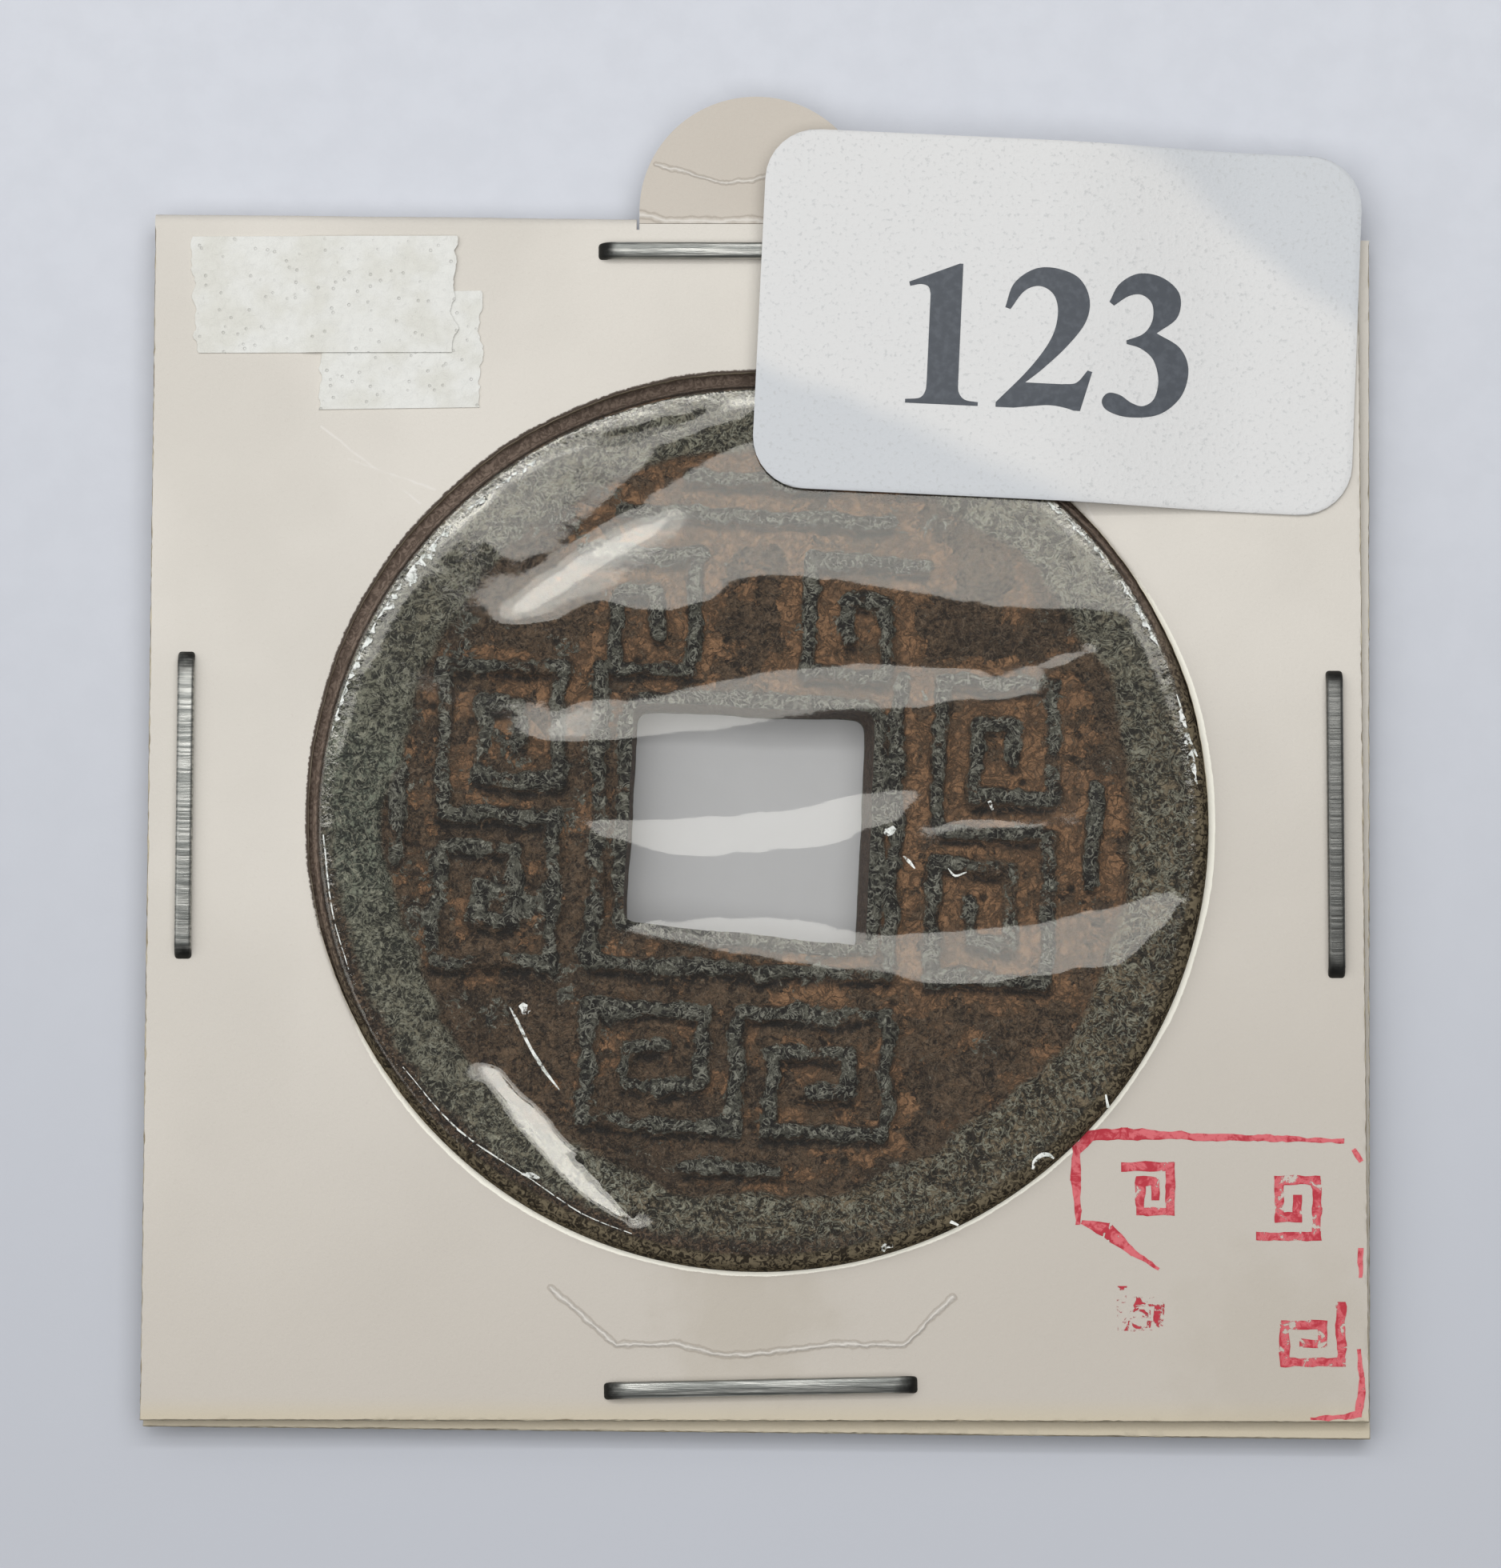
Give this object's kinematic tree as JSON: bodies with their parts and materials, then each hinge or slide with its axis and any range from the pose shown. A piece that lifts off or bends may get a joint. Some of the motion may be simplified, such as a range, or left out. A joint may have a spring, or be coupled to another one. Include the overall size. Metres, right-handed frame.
{
  "type": "bronze cash coin in a stapled card holder",
  "caption": "Cast bronze coin with a square hole, sealed between clear films in a folded, stapled card holder with a label.",
  "frame": {"origin": "on the flat underside of the rear film, below the middle of the round window, with the holder lying on its back", "axes": "+Z out of the front of the holder, +Y up the card towards the index tab, +X to the right as the front is read"},
  "size_m": [0.0513, 0.0566, 0.003],
  "materials": {
    "bronze": "old cast bronze with brown and grey-green patina",
    "card": "matt off-white card, aged",
    "film": "clear glossy polyester film, wrinkled",
    "staple_wire": "flat steel wire, dulled",
    "label": "satin silver-white sticker",
    "tape": "thin white tape, pitted"
  },
  "bodies": {
    "holder": {"front_card": "card", "rear_card": "card", "card_fold_left": "card", "card_fold_right": "card", "front_film": "film", "rear_film": "film", "left_staple": "staple_wire", "right_staple": "staple_wire", "bottom_staple": "staple_wire", "top_staple": "staple_wire", "lot_label": "label", "upper_tape": "tape", "lower_tape": "tape"},
    "coin": {"coin": "bronze"},
    "index_tab": {"index_tab": "card"}
  },
  "joints": [
    {"name": "coin_spin", "type": "hinge", "parent": "holder", "child": "coin", "pos_m": [0.0001, -0.00026, 0.0014], "axis": [0, 0, 1], "continuous": true},
    {"name": "tab_fold", "type": "hinge", "parent": "holder", "child": "index_tab", "pos_m": [-0.00013, 0.02535, 0.0014], "axis": [-1, 0, 0], "range_deg": [0, 115]}
  ]
}
